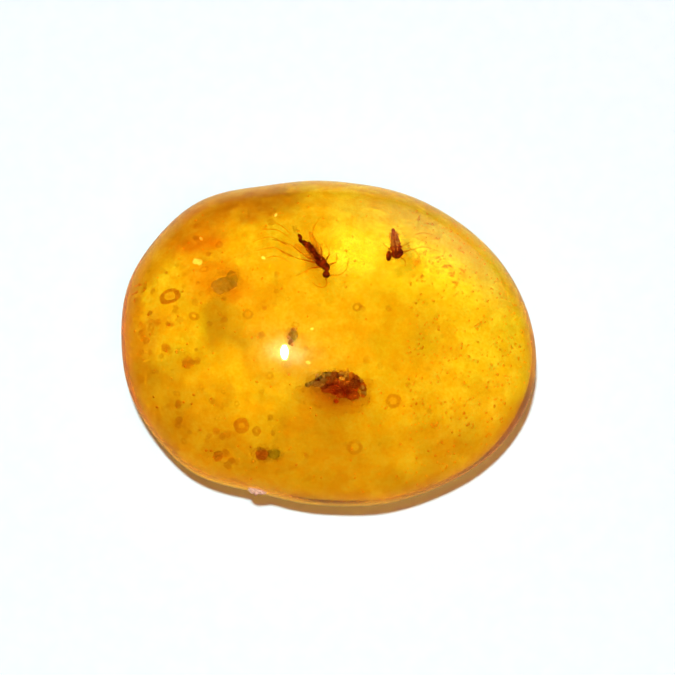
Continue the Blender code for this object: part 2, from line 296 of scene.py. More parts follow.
def add_skin(bm):
    """The stone's outer surface."""
    outline = outline_points(STONE_SEGMENTS)
    length, width = (max(p[k] for p in outline) for k in range(2))
    headings = [math.tau * i / STONE_SEGMENTS for i in range(STONE_SEGMENTS)]
    oval = [Vector((math.cos(h) * length, math.sin(h) * width)) for h in headings]
    rings = []
    for share, height in stone_rings():
        up = max(0.0, (height - GIRDLE_HEIGHT) / DOME_RISE)
        shift = APEX_SHIFT * (1 - share**2) * up
        level = [o.lerp(p, min(1.0, share / 0.8) if up else 1.0) * share + shift for o, p in zip(oval, outline)]
        rings.append([bm.verts.new((*p, height)) for p in level])
    top = bm.verts.new((*APEX_SHIFT, GIRDLE_HEIGHT + DOME_RISE))
    bottom = bm.verts.new((0, 0, 0))
    for i in range(STONE_SEGMENTS):
        j = (i + 1) % STONE_SEGMENTS
        for lower, upper in zip(rings, rings[1:]):
            bm.faces.new((lower[i], lower[j], upper[j], upper[i]))
        bm.faces.new((rings[-1][i], rings[-1][j], top))
        bm.faces.new((rings[0][j], rings[0][i], bottom))


def wear_skin(bm):
    """Presses the hand polish's low waves and the rim's chip into the surface, and leaves the base flat."""
    bm.normal_update()
    moves = []
    for vert in bm.verts:
        if vert.co.z <= 0:
            continue
        grip = min(1.0, vert.co.z / 1.5)
        depth = sum(h * (0.5 + 0.5 * noise.noise(vert.co * f)) for f, h in SURFACE_WAVES) * grip
        depth += max(0.0, CHIP_RADIUS - (vert.co - CHIP_CENTRE).length)
        moves.append((vert, vert.normal * depth))
    for vert, move in moves:
        vert.co -= move


def build_amber():
    bm = bmesh.new()
    add_skin(bm)
    wear_skin(bm)
    return bm


# Materials. Colour, roughness and bump come from nodes that read the object's own coordinates, in millimetres.


class Look:
    """A material with one Principled shader, and short ways to add and link nodes."""

    def __init__(self, name):
        self.material = bpy.data.materials.new(name)
        self.material.use_nodes = True
        self.nodes = self.material.node_tree.nodes
        self.links = self.material.node_tree.links
        self.shader = self.nodes["Principled BSDF"]
        where = self.nodes.new("ShaderNodeTexCoord")
        scale = self.nodes.new("ShaderNodeVectorMath")
        scale.operation = "SCALE"
        scale.inputs["Scale"].default_value = 1 / MM
        self.links.new(where.outputs["Object"], scale.inputs[0])
        self.place = scale.outputs["Vector"]

    def set(self, **values):
        for name, value in values.items():
            self.shader.inputs[name.replace("_", " ")].default_value = value
        return self

    def noise(self, scale, detail=3.0, vector=None):
        node = self.nodes.new("ShaderNodeTexNoise")
        node.inputs["Scale"].default_value = scale
        node.inputs["Detail"].default_value = detail
        self.links.new(vector or self.place, node.inputs["Vector"])
        return node.outputs["Fac"]

    def remap(self, value, low, high, to_low=0.0, to_high=1.0):
        node = self.nodes.new("ShaderNodeMapRange")
        node.interpolation_type = "SMOOTHSTEP"
        node.inputs["From Min"].default_value = low
        node.inputs["From Max"].default_value = high
        node.inputs["To Min"].default_value = to_low
        node.inputs["To Max"].default_value = to_high
        self.links.new(value, node.inputs["Value"])
        return node.outputs["Result"]

    def maths(self, operation, first, second):
        node = self.nodes.new("ShaderNodeMath")
        node.operation = operation
        for socket, value in zip(node.inputs, (first, second)):
            if isinstance(value, float):
                socket.default_value = value
            else:
                self.links.new(value, socket)
        return node.outputs["Value"]

    def mix(self, share, first, second, blend="MIX"):
        """Mixes two colours, each given as a colour or as a socket."""
        node = self.nodes.new("ShaderNodeMix")
        node.data_type = "RGBA"
        node.blend_type = blend
        if isinstance(share, float):
            node.inputs["Factor"].default_value = share
        else:
            self.links.new(share, node.inputs["Factor"])
        for name, colour in (("A", first), ("B", second)):
            socket = next(s for s in node.inputs if s.name == name and s.type == "RGBA")
            if isinstance(colour, tuple):
                socket.default_value = (*colour, 1.0)
            else:
                self.links.new(colour, socket)
        return next(s for s in node.outputs if s.type == "RGBA")

    def height(self):
        node = self.nodes.new("ShaderNodeSeparateXYZ")
        self.links.new(self.place, node.inputs[0])
        return node.outputs["Z"]

    def colour(self, source):
        self.links.new(source, self.shader.inputs["Base Color"])
        return self

    def roughness(self, source):
        self.links.new(source, self.shader.inputs["Roughness"])
        return self

    def bump(self, source, distance):
        """Raises the surface by so many millimetres where the source is 1."""
        node = self.nodes.new("ShaderNodeBump")
        node.inputs["Distance"].default_value = distance * MM
        self.links.new(source, node.inputs["Height"])
        self.links.new(node.outputs["Normal"], self.shader.inputs["Normal"])
        return self


# Flow clouds in the resin, with painted light in a few patches: middle, half lengths and turn of each soft patch, its
# colour, and how strong it is.
CORE = (1.0, 0.88, 0.36)
UNDERSIDE = (1.0, 0.86, 0.31)
# Where the skin is tinted deeper or paler than at its core, and in a few patches painted light: middle, half lengths,
# turn in degrees, and the share of each colour that is left there.
PATCHES = [
    ((-8.4, 6.2), (4.8, 2.3), 42, (0.7, 0.44, 0.3)),
    ((-4.4, 7.7), (4.6, 2.2), 12, (0.54, 0.3, 0.3)),
    ((-5.8, 5.4), (2.4, 1.8), 0, (0.95, 0.78, 0.5)),
    ((-11.9, 0.2), (2.3, 6.0), 0, (0.72, 0.43, 0.45)),
    ((-10.6, -5.0), (3.2, 4.6), 35, (0.7, 0.54, 0.4)),
    ((-7.4, -6.4), (4.4, 3.4), -30, (0.7, 0.57, 0.5)),
    ((-1.0, -8.9), (10.5, 4.4), 0, (0.63, 0.49, 0.4)),
    ((7.2, -7.8), (5.8, 3.1), 28, (0.62, 0.45, 0.4)),
    ((10.9, -5.3), (2.2, 3.0), 0, (0.7, 0.5, 0.4)),
    ((-6.3, -0.4), (2.1, 2.1), -20, (0.44, 0.37, 0.4)),
    ((-6.8, 2.3), (2.8, 2.2), 0, (0.97, 0.64, 0.5)),
    ((-6.3, 1.35), (0.9, 0.7), 0, (0.98, 0.74, 0.6)),
    ((-7.6, 5.2), (1.9, 1.1), 0, (1.03, 0.54, 0.4)),
    ((-10.2, 2.2), (1.8, 1.5), 0, (1.2, 1.5, 1.0)),
    # Partly painted shade below the bark fragment, partly deeper resin.
    ((-0.9, -5.2), (3.0, 2.2), 0, (0.76, 0.66, 0.5)),
    ((-1.8, -4.0), (2.4, 1.8), 0, (0.94, 0.97, 2.4)),
    ((-3.4, 0.6), (2.2, 2.4), 0, (0.96, 0.94, 0.8)),
    ((4.4, -0.4), (3.6, 4.4), 0, (0.84, 0.82, 0.5)),
    ((-9.6, -2.6), (2.4, 1.9), 10, (0.68, 0.64, 0.6)),
    ((-7.4, -2.4), (1.6, 1.2), -20, (0.84, 0.82, 0.7)),
    ((-5.4, -3.6), (1.7, 1.5), 0, (1.02, 1.1, 1.0)),
    ((-8.6, -0.6), (2.0, 2.0), 0, (1.03, 1.3, 1.0)),
    ((-9.1, 3.5), (1.8, 1.7), 0, (1.03, 1.28, 1.0)),
    ((-4.4, 5.2), (2.2, 1.6), 0, (1.03, 1.35, 1.0)),
    # Painted glow: paler and yellower where the lamps' glow through the base shows.
    ((6.0, 4.0), (4.6, 2.8), -18, (1.05, 1.6, 1.3)),
    ((9.4, 0.6), (3.2, 5.2), 0, (1.05, 1.22, 1.2)),
    # Painted glow: the bright yellow spot where the overhead lamp's reflection in the base shows through the top.
    ((1.5, 4.9), (3.4, 3.0), 0, (1.03, 1.34, 2.2)),
    ((4.8, 7.8), (3.4, 1.8), -10, (0.78, 0.72, 0.8)),
    ((-0.6, -6.8), (3.4, 1.7), 0, (0.9, 0.83, 0.6)),
    ((3.6, -1.6), (2.6, 1.8), 10, (0.9, 0.88, 0.7)),
]
PATCH_SOFTNESS = 0.75
PATCH_WANDER = 1.1
# Painted light at the rim: the skin turns redder and brighter in red towards the outline, making up for light that the
# rim loses.
RIM_PAINTED_LIGHT = (1.12, 0.96, 0.9)
RIM_PAINTED_LIGHT_START = 0.9
# Clouds all through: how many a millimetre, between which values of the noise, and what the darkest leave.
MOTTLES = [
    (6.0, 0.36, 0.62, (0.97, 0.8, 0.62)),
    (2.2, 0.34, 0.64, (0.96, 0.83, 0.64)),
    (0.9, 0.38, 0.6, (0.98, 0.72, 0.4)),
    (0.5, 0.38, 0.56, (0.87, 0.82, 0.6)),
]
# Colour and density a metre of the resin in old bubbles and of the stains.
CELL = ((0.78, 0.36, 0.2, 1.0), 2700.0)
BROWN = ((0.68, 0.26, 0.1, 1.0), 1900.0)
OLIVE = ((0.54, 0.6, 0.4, 1.0), 1500.0)


def smooth(share):
    share = min(max(share, 0.0), 1.0)
    return share * share * (3 - 2 * share)


def patch_share(point, centre, radii, turn):
    """A soft round mask: 1 at the patch's middle and 0 at its edge, at any height."""
    away = Matrix.Rotation(-math.radians(turn), 2) @ (point.xy - Vector(centre))
    return smooth((1 - math.hypot(away.x / radii[0], away.y / radii[1])) / PATCH_SOFTNESS)


def tinted(tone, factor, share):
    return [tone[k] * (1 - share * (1 - factor[k])) for k in range(3)]


def tone_at(point, share_out):
    """The resin skin's tint at a point of the stone, in millimetres, with painted light at the rim and in a few
    patches.
    """
    if point.z <= PARTING:
        return UNDERSIDE
    swirl = noise.turbulence_vector(point * 0.45, 3, False)
    wandered = point + Vector((swirl.x, swirl.y, 0)) * PATCH_WANDER
    tone = CORE
    for centre, radii, turn, factor in PATCHES:
        tone = tinted(tone, factor, patch_share(wandered, centre, radii, turn))
    # Painted light: redder and brighter in red towards the outline.
    tone = tinted(tone, RIM_PAINTED_LIGHT, smooth((share_out - RIM_PAINTED_LIGHT_START) / (1 - RIM_PAINTED_LIGHT_START)))
    blend = smooth((point.z - PARTING) / 0.8)
    return [min(1.0, UNDERSIDE[k] + blend * (tone[k] - UNDERSIDE[k])) for k in range(3)]


def paint_tones(mesh):
    """Writes the tint of each point, with its painted light, into the mesh, for its material to read."""
    colours = mesh.attributes.new("tone", "FLOAT_COLOR", "POINT")
    values = []
    for vert in mesh.vertices:
        point = vert.co / MM
        heading = math.atan2(point.y, point.x)
        values += [*tone_at(point, point.xy.length / outline_radius(heading)), 1.0]
    colours.data.foreach_set("color", values)


def absorb(look, colour, density):
    """Fills a material with clear resin that absorbs so much a metre of what the colour lacks."""
    volume = look.nodes.new("ShaderNodeVolumeAbsorption")
    volume.inputs["Color"].default_value = colour
    volume.inputs["Density"].default_value = density
    look.links.new(volume.outputs["Volume"], look.nodes["Material Output"].inputs["Volume"])


def amber_look():
    look = Look("amber_clear")
    look.set(IOR=AMBER_IOR, Transmission_Weight=1.0, Coat_Weight=0.28, Coat_Roughness=0.2)
    # The skin's tint, which holds painted light at the rim and in a few patches.
    tone = look.nodes.new("ShaderNodeAttribute")
    tone.attribute_name = "tone"
    height = look.height()
    below = look.remap(height, 3.2, 4.0, 1.0, 0.0)
    colour = tone.outputs["Color"]
    for waves, low, high, darkest in MOTTLES:
        share = look.maths("MAXIMUM", look.remap(look.noise(waves, 4.0), low, high), below)
        colour = look.mix(1.0, colour, look.mix(share, darkest, (1.0, 1.0, 1.0)), "MULTIPLY")
    look.colour(colour)
    ground = look.remap(height, 0.05, 0.6, 0.3, 1.0)
    matt = look.remap(height, 2.8, 4.8, 0.4, 0.004)
    look.roughness(look.maths("MULTIPLY", ground, matt))
    look.bump(look.noise(2.6, 4.0), 0.0001)
    absorb(look, ABSORPTION_COLOUR, ABSORPTION_DENSITY)
    return look.material


def stained_look(name, colour, density):
    """Darker resin, whose edges fade where it is thin."""
    look = Look(name)
    look.set(IOR=1.01, Transmission_Weight=1.0, Specular_IOR_Level=0.1)
    grain = look.noise(4.0, 3.0)
    look.colour(look.mix(grain, (0.96, 0.9, 0.8), (1.0, 1.0, 1.0)))
    look.roughness(look.remap(grain, 0.3, 0.7, 0.05, 0.15))
    absorb(look, colour, density)
    return look.material


def grained_look(name, dark, light, scale, rough=0.6, bump=0.01, **values):
    """A mottled surface between two colours, with grain that also shades its roughness and bump."""
    look = Look(name)
    look.set(**{"Specular_IOR_Level": 0.1, **values})
    grain = look.noise(scale, 6.0)
    look.colour(look.mix(look.remap(grain, 0.35, 0.65), dark, light))
    look.roughness(look.remap(grain, 0.3, 0.7, rough - 0.12, rough + 0.12))
    look.bump(grain, bump)
    return look.material


def clear_look(name, dark, light, clearness):
    """A mottled, partly clear matter that hardly bends the light, as thin debris in resin does."""
    return grained_look(name, dark, light, 2.0, 0.5, 0.01, IOR=1.02, Transmission_Weight=clearness)


# The gnat and the small fly, in millimetres from the middle of the pocket. An insect's own +X runs from its tail to
# its head, and it is then turned to the way that it lies. Material 0 is its body, 1 its legs, 2 its wings.


def leg_radius(thick):
    """A leg's radius along its length: a stout thigh, a slim shin, and a foot of five short joints."""

    def radius(t):
        if t < 0.36:
            return thick * (0.75 + 0.5 * math.sin(math.pi * t / 0.36))
        if t < 0.68:
            return thick * (0.62 - 0.1 * math.sin(math.pi * (t - 0.36) / 0.32))
        return thick * (0.36 + 0.13 * abs(math.sin(5 * math.pi * (t - 0.68) / 0.32)))

    return radius


def add_leg(bm, points, thick, seed):
    path = smooth_path(points, 14)
    add_tube(bm, path, leg_radius(thick), sides=8, material=1)
    source = random.Random(seed)
    for i in range(4, len(path) - 1, 2):
        heading = (path[i + 1] - path[i]).normalized()
        side = heading.cross(Vector((source.uniform(-1, 1), source.uniform(-1, 1), source.uniform(-1, 1))))
        direction = (side.normalized() + heading * 0.6).normalized()
        add_hair(bm, path[i], direction, source.uniform(0.04, 0.08), 0.004, material=1)


def add_antenna(bm, points, thick, joints=13):
    """A beaded antenna."""
    path = smooth_path(points, 20)
    add_tube(bm, path, lambda t: thick * (1.1 - 0.5 * t) * (0.75 + 0.4 * abs(math.sin(joints * math.pi * t))), material=1)


def wing_grid(length, width, rows=26, columns=12):
    """Points of a wing that is narrow at its root and round at its tip, row by row along it."""
    grid = []
    for i in range(rows + 1):
        along = 0.5 - 0.5 * math.cos(math.pi * i / rows)
        half = width * max(0.004, (along * (1 - along)) ** 0.5 * along**0.35)
        grid.append([Vector((along * length, half * (2 * k / columns - 1), 0)) for k in range(columns + 1)])
    return grid


def add_wing(bm, root, heading, length, width, height, tilt, sag=0.05):
    """A membrane with raised veins and a fringe, set to run along a heading in degrees."""
    rotation = Matrix.Rotation(math.radians(heading), 3, "Z") @ Matrix.Rotation(math.radians(tilt), 3, "Y")
    origin = Vector((*root, height))

    def put(point, lift):
        bend = sag * math.sin(point.x / length * math.pi) - 0.25 * point.y**2
        crumple = 0.015 * noise.noise(point * 5.0)
        return origin + rotation @ Vector((point.x, point.y, bend + crumple + lift))

    grid = wing_grid(length, width)
    thickness = 0.006
    upper = [[bm.verts.new(put(p, thickness)) for p in row] for row in grid]
    lower = [[bm.verts.new(put(p, 0.0)) for p in row] for row in grid]
    rows, columns = len(grid) - 1, len(grid[0]) - 1
    for i in range(rows):
        for k in range(columns):
            bm.faces.new((upper[i][k], upper[i + 1][k], upper[i + 1][k + 1], upper[i][k + 1]))
            bm.faces.new((lower[i][k], lower[i][k + 1], lower[i + 1][k + 1], lower[i + 1][k]))
        bm.faces.new((upper[i][0], lower[i][0], lower[i + 1][0], upper[i + 1][0]))
        bm.faces.new((upper[i][-1], upper[i + 1][-1], lower[i + 1][-1], lower[i][-1]))
    for k in range(columns):
        bm.faces.new((upper[0][k], upper[0][k + 1], lower[0][k + 1], lower[0][k]))
        bm.faces.new((upper[-1][k], lower[-1][k], lower[-1][k + 1], upper[-1][k + 1]))
    paint([vert for row in upper + lower for vert in row], 2)

    # Long veins fan out from the root, and two short ones cross them.
    for share in (-1.0, -0.62, -0.3, 0.02, 0.34, 0.66, 1.0):
        path = []
        for i in range(1, rows + 1):
            spread = min(1.0, 0.35 + i / rows)
            column = (share * spread + 1) / 2 * columns
            k = min(int(column), columns - 1)
            path.append(put(grid[i][k].lerp(grid[i][k + 1], column - k), thickness))
        thick = 0.012 if abs(share) == 1.0 else 0.008
        add_tube(bm, path, lambda t, thick=thick: thick * (1.2 - 0.6 * t), sides=5, material=3)
    for row in (rows // 2, rows * 2 // 3):
        path = [put(grid[row][k], thickness) for k in range(2, columns - 3)]
        add_tube(bm, path, lambda t: 0.006, sides=5, material=3)
    for i in range(rows // 3, rows):
        for edge, side in ((0, -1), (columns, 1)):
            direction = rotation @ Vector((0.6, side, 0)).normalized()
            add_hair(bm, put(grid[i][edge], 0), direction, 0.06, 0.003, material=3)


def add_body_hairs(bm, centre, radii, count, seed, length):
    """Bristles that stand on an ellipsoid."""
    source = random.Random(seed)
    for _ in range(count):
        way = Vector((source.gauss(0, 1), source.gauss(0, 1), source.gauss(0, 1))).normalized()
        root = Vector(centre) + Vector([way[k] * radii[k] * 0.97 for k in range(3)])
        direction = (way + Vector((-0.7, 0, 0))).normalized()
        add_hair(bm, root, direction, length * source.uniform(0.6, 1.2), 0.004)


def build_gnat():
    """A slender gnat: a narrow abdomen of seven rings, a humped thorax, large eyes, long legs and antennae."""
    spine = 0.5
    bm = bmesh.new()
    for i in range(7):
        share = i / 6
        hook = 0.15 * math.exp(-(((share - 0.2) / 0.16) ** 2))
        centre = (-1.42 + 1.28 * share, spine - hook, 0.0)
        girth = 0.1 + 0.16 * smooth((share - 0.1) / 0.6)
        add_ball(bm, centre, (0.17, girth, girth * 0.95), rough=0.1, seed=i, subdivisions=3)
        add_body_hairs(bm, centre, (0.15, girth, girth), 22, 100 + i, 0.07)
    thorax = [
        ((0.1, spine + 0.01, 0.03), (0.34, 0.27, 0.26)),
        ((0.42, spine + 0.0, 0.05), (0.36, 0.29, 0.3)),
        ((0.76, spine + 0.04, 0.04), (0.3, 0.22, 0.25)),
    ]
    for number, (centre, radii) in enumerate(thorax):
        add_ball(bm, centre, radii, turn=10, rough=0.06, seed=20 + number)
        add_body_hairs(bm, centre, radii, 60, 200 + number, 0.1)
    add_ball(bm, (1.0, spine - 0.06, 0.02), (0.16, 0.11, 0.1), turn=-45, subdivisions=3)
    add_ball(bm, (1.15, spine - 0.22, 0.0), (0.2, 0.21, 0.18), turn=-50, rough=0.05, seed=31)
    add_ball(bm, (1.13, spine - 0.15, 0.09), (0.1, 0.09, 0.09), rough=0.03, grain=14, seed=32)
    add_ball(bm, (1.13, spine - 0.32, 0.09), (0.1, 0.09, 0.09), rough=0.03, grain=14, seed=33)
    add_tube(bm, smooth_path([(1.2, 0.2, -0.05), (1.3, 0.12, -0.14), (1.3, 0.06, -0.24)], 5), lambda t: 0.03 * (1.1 - t * 0.7))
    legs = [
        [(0.3, 0.45, -0.12), (-0.25, 0.05, 0.12), (-0.9, -0.12, 0.16), (-1.5, -0.3, 0.1), (-2.3, -0.88, 0)],
        [(0.5, 0.45, -0.15), (-0.1, -0.05, 0.0), (-0.7, -0.5, 0.02), (-1.2, -0.72, 0.0), (-1.8, -1.05, 0)],
        [(0.7, 0.45, -0.15), (0.35, -0.1, -0.2), (0.25, -0.6, -0.1), (0.12, -1.1, -0.1)],
        [(0.3, 0.6, -0.1), (-0.1, 0.95, 0.1), (-0.45, 1.02, 0.15), (-0.75, 0.98, 0.1), (-1.15, 1.15, 0)],
        [(0.55, 0.7, -0.15), (0.35, 1.15, -0.05), (0.0, 1.3, 0), (-0.4, 1.35, 0)],
        [(0.75, 0.7, -0.15), (0.93, 1.1, -0.2), (0.82, 1.32, -0.15), (0.6, 1.45, -0.1)],
    ]
    for number, points in enumerate(legs):
        add_leg(bm, points, 0.034, 300 + number)
    add_antenna(bm, [(1.22, 0.32, 0), (1.58, 0.76, 0.05), (1.68, 1.08, 0.05), (1.6, 1.4, 0), (1.33, 1.75, 0)], 0.022)
    add_antenna(bm, [(1.22, 0.2, 0), (1.6, -0.05, 0.05), (1.6, -0.32, 0.05), (1.35, -0.52, 0), (1.02, -0.6, 0)], 0.022)
    add_wing(bm, (0.4, 0.42), 196, 1.7, 0.5, 0.18, 3)
    add_wing(bm, (0.4, 0.62), 166, 1.75, 0.34, 0.2, 3)
    return bm


def build_fly():
    """A small fly: a pointed abdomen under folded wings, a broad thorax, and a head bent aside."""
    spine = -0.42
    bm = bmesh.new()
    for i in range(6):
        share = i / 5
        centre = (-0.98 + 0.95 * share, spine + 0.02 * math.sin(3 * share), 0.0)
        girth = 0.11 + 0.24 * share**0.8
        add_ball(bm, centre, (0.15, girth, girth * 0.85), rough=0.06, seed=50 + i, subdivisions=3)
        add_body_hairs(bm, centre, (0.15, girth, girth), 20, 400 + i, 0.06)
    thorax = [
        ((0.12, spine, 0.02), (0.26, 0.27, 0.23)),
        ((0.36, spine, 0.02), (0.28, 0.3, 0.25)),
        ((0.3, spine + 0.22, -0.02), (0.2, 0.16, 0.16)),
    ]
    for number, (centre, radii) in enumerate(thorax):
        add_ball(bm, centre, radii, rough=0.07, seed=60 + number, material=4)
        add_body_hairs(bm, centre, radii, 45, 420 + number, 0.09)
    add_ball(bm, (0.36, spine - 0.26, 0.0), (0.1, 0.14, 0.1), material=4, subdivisions=3)
    add_ball(bm, (0.42, spine - 0.46, 0.0), (0.3, 0.16, 0.17), turn=-10, rough=0.06, seed=63, material=4)
    add_ball(bm, (0.52, spine - 0.5, 0.07), (0.11, 0.09, 0.1), rough=0.03, grain=14, seed=64, material=4)
    add_ball(bm, (0.33, spine - 0.5, 0.07), (0.1, 0.08, 0.09), rough=0.03, grain=14, seed=65, material=4)
    legs = [
        [(0.35, -0.3, -0.1), (0.28, 0.16, 0), (0.22, 0.55, 0.05), (0.44, 0.74, 0), (0.78, 0.84, 0)],
        [(0.2, -0.3, -0.1), (-0.05, 0.0, -0.1), (-0.12, 0.22, -0.06), (-0.25, 0.45, 0)],
        [(0.5, -0.35, -0.1), (0.66, -0.12, -0.1), (0.8, -0.02, -0.05), (0.95, 0.0, 0)],
        [(0.2, -0.6, -0.1), (-0.02, -0.85, -0.1), (-0.18, -1.0, -0.05), (-0.35, -1.1, 0)],
    ]
    for number, points in enumerate(legs):
        add_leg(bm, points, 0.032, 440 + number)
    add_antenna(bm, [(0.5, spine - 0.56, 0.05), (0.64, -1.08, 0.1), (0.78, -1.12, 0.1)], 0.018, joints=7)
    add_wing(bm, (0.2, spine + 0.08), 174, 1.1, 0.26, 0.24, 4)
    add_wing(bm, (0.2, spine - 0.08), 186, 1.1, 0.26, 0.24, 4)
    return bm


# Plant debris. Each is a rough lump, or a few, in millimetres from the middle of its pocket.


def add_crumbs(bm, centres, count, spread, sizes, seed, materials):
    """Flat crumbs scattered about the centres."""
    source = random.Random(seed)
    for number in range(count):
        x, y = source.choice(centres)
        size = source.uniform(*sizes)
        centre = (x + source.gauss(0, spread), y + source.gauss(0, spread), source.uniform(-0.2, 0.3))
        radii = (size * source.uniform(1, 1.6), size, size * 0.5)
        add_ball(bm, centre, radii, turn=source.uniform(0, 180), rough=0.3, seed=seed + number,
                 material=source.choice(materials), subdivisions=2)


ARCH = [(-1.6, 0.16), (-1.1, 0.42), (-0.49, 0.64), (0.16, 0.68), (0.81, 0.6), (1.25, 0.3), (1.5, -0.1), (1.45, -0.45)]


def build_bark():
    """A crumbling arched husk over softer red matter. Material 0 is dark, 1 red, 2 pale, 3 grey, 4 haze."""
    bm = bmesh.new()
    path = smooth_path([(x, y, 0.0) for x, y in ARCH], 2)
    for number, point in enumerate(path):
        along = number / (len(path) - 1)
        size = 0.1 + 0.1 * math.sin(math.pi * along)
        material = (3, 3, 0)[number % 3] if along < 0.4 else (0, 3, 1)[number % 3]
        add_ball(bm, point, (size * 1.2, size, size), turn=37 * number, rough=0.4, grain=2.2, seed=number,
                 material=material, subdivisions=4)
    lumps = [
        ((1.0, 0.22, 0.1), (0.27, 0.26, 0.24), 0),
        ((-0.3, 0.34, 0.1), (0.42, 0.24, 0.3), 1),
        ((0.42, 0.24, 0.05), (0.4, 0.3, 0.3), 1),
        ((0.55, -0.16, 0.0), (0.36, 0.28, 0.26), 1),
        ((0.86, -0.42, -0.05), (0.36, 0.22, 0.22), 1),
        ((0.2, -0.3, -0.05), (0.4, 0.2, 0.2), 1),
        ((-0.35, 0.0, -0.1), (0.5, 0.24, 0.18), 1),
        ((0.8, 0.02, -0.05), (0.36, 0.26, 0.22), 1),
        ((0.25, 0.42, 0.34), (0.15, 0.1, 0.1), 2),
        ((-0.75, 0.36, 0.3), (0.2, 0.12, 0.1), 3),
        ((-1.05, 0.16, 0.2), (0.3, 0.16, 0.12), 3),
        ((-0.05, -0.72, 0.0), (0.13, 0.11, 0.1), 1),
    ]
    for number, (centre, radii, material) in enumerate(lumps):
        add_ball(bm, centre, radii, rough=0.4, grain=2.0, seed=40 + number, material=material, subdivisions=5)
    add_crumbs(bm, [point.xy + Vector((0, 0.12)) for point in path], 26, 0.1, (0.05, 0.13), 500, (4, 3, 4))
    return bm


def build_seed():
    bm = bmesh.new()
    add_ball(bm, (0.05, 0.07, 0), (0.24, 0.27, 0.24), rough=0.2, grain=3.0, seed=11, subdivisions=5)
    add_ball(bm, (-0.1, -0.28, -0.02), (0.12, 0.2, 0.13), turn=-25, rough=0.25, seed=12, material=1)
    add_ball(bm, (0.0, -0.46, 0.02), (0.1, 0.09, 0.09), rough=0.3, seed=13, material=2)
    add_crumbs(bm, [(-0.15, 0.1), (-0.1, -0.1), (0.2, 0.28), (0.0, 0.34)], 7, 0.05, (0.06, 0.11), 840, (3,))
    return bm


def build_leaf():
    """A torn scrap, a little curled, with a raised horn at one corner."""
    bm = bmesh.new()
    add_ball(bm, (-0.08, -0.02, 0), (0.68, 0.43, 0.06), rough=0.24, grain=1.5, seed=14, subdivisions=6)
    add_ball(bm, (0.4, 0.16, 0), (0.3, 0.5, 0.05), turn=-24, rough=0.26, grain=1.6, seed=15, subdivisions=5, material=1)
    for vert in bm.verts:
        vert.co.z += 0.2 * vert.co.x**2 - 0.08 + 0.03 * noise.noise(vert.co * 6)
    return bm


def build_frass():
    bm = bmesh.new()
    add_ball(bm, (-0.38, 0.0, 0), (0.38, 0.3, 0.28), rough=0.2, grain=2.0, seed=116, subdivisions=5)
    add_ball(bm, (0.36, 0.02, 0), (0.33, 0.26, 0.24), rough=0.2, grain=2.0, seed=117, material=1, subdivisions=5)
    add_ball(bm, (-0.5, 0.22, 0.22), (0.14, 0.1, 0.1), rough=0.3, seed=18, material=1, subdivisions=3)
    return bm


def height_of_dome(x, y):
    """The dome's rough height over a point."""
    across = math.hypot((x + 0.4) / 12.4, y / 9.9)
    return GIRDLE_HEIGHT + DOME_RISE * rise(min(across, 1.0), DOME_FULLNESS)


def build_specks():
    """Dust in the resin: dark crumbs, thick in the right of the stone and thin elsewhere, and a few dashes."""
    bm = bmesh.new()
    source = random.Random(5)
    dashes = [(6.7, 3.87), (6.95, 3.3), (7.1, 2.9), (6.3, 4.3), (7.6, 3.6), (-11.2, 2.6), (-11.0, 3.0)]
    for x, y in dashes:
        for number in range(5):
            centre = (x + source.gauss(0, 0.12), y + source.gauss(0, 0.05), 4.4)
            radii = (source.uniform(0.06, 0.16), 0.05, 0.04)
            add_ball(bm, centre, radii, turn=source.uniform(-30, 30), rough=0.4, seed=number, subdivisions=2)
    placed = 0
    while placed < 1500:
        x, y = source.uniform(-12, 12), source.uniform(-9.5, 9.5)
        share = math.hypot(x / 12.4, y / 9.9)
        thick = 0.9 if x > 4.5 else 0.16
        if share > 0.93 or source.random() > thick * (0.35 + 0.65 * share):
            continue
        top = height_of_dome(x, y) - 0.5
        z = source.uniform(max(1.6, 3.4 * share), top)
        size = 0.022 + 0.05 * source.random() ** 2
        radii = (size * source.uniform(1, 1.5), size, size)
        add_ball(bm, (x, y, z), radii, turn=source.uniform(0, 180), rough=0.3, seed=placed, subdivisions=1,
                 material=placed % 2)
        placed += 1
    return bm


def add_ring(bm, centre, radii, turn, hollow, seed, steps=36, sides=12):
    """An uneven ring, open for so much of its middle."""
    rotation = Matrix.Rotation(math.radians(turn), 3, "Z")
    rows = []
    for i in range(steps):
        around = Vector((math.cos(math.tau * i / steps), math.sin(math.tau * i / steps), seed * 1.7))
        uneven = 1 + 0.14 * noise.noise(around)
        row = []
        for k in range(sides):
            angle = math.tau * k / sides
            reach = uneven * (1 + hollow + (1 - hollow) * math.cos(angle)) / 2
            point = Vector((around.x * radii[0] * reach, around.y * radii[1] * reach, math.sin(angle) * radii[2]))
            row.append(bm.verts.new(Vector(centre) + rotation @ point))
        rows.append(row)
    for i, row in enumerate(rows):
        after = rows[(i + 1) % steps]
        for k in range(sides):
            m = (k + 1) % sides
            bm.faces.new((row[k], after[k], after[m], row[m]))


def add_cell(bm, centre, radii, turn, hollow, seed, rough=0.0, subdivisions=3):
    if hollow:
        add_ring(bm, centre, radii, turn, hollow, seed)
    else:
        add_ball(bm, centre, radii, turn=turn, rough=rough, grain=1.4, seed=seed, subdivisions=subdivisions)


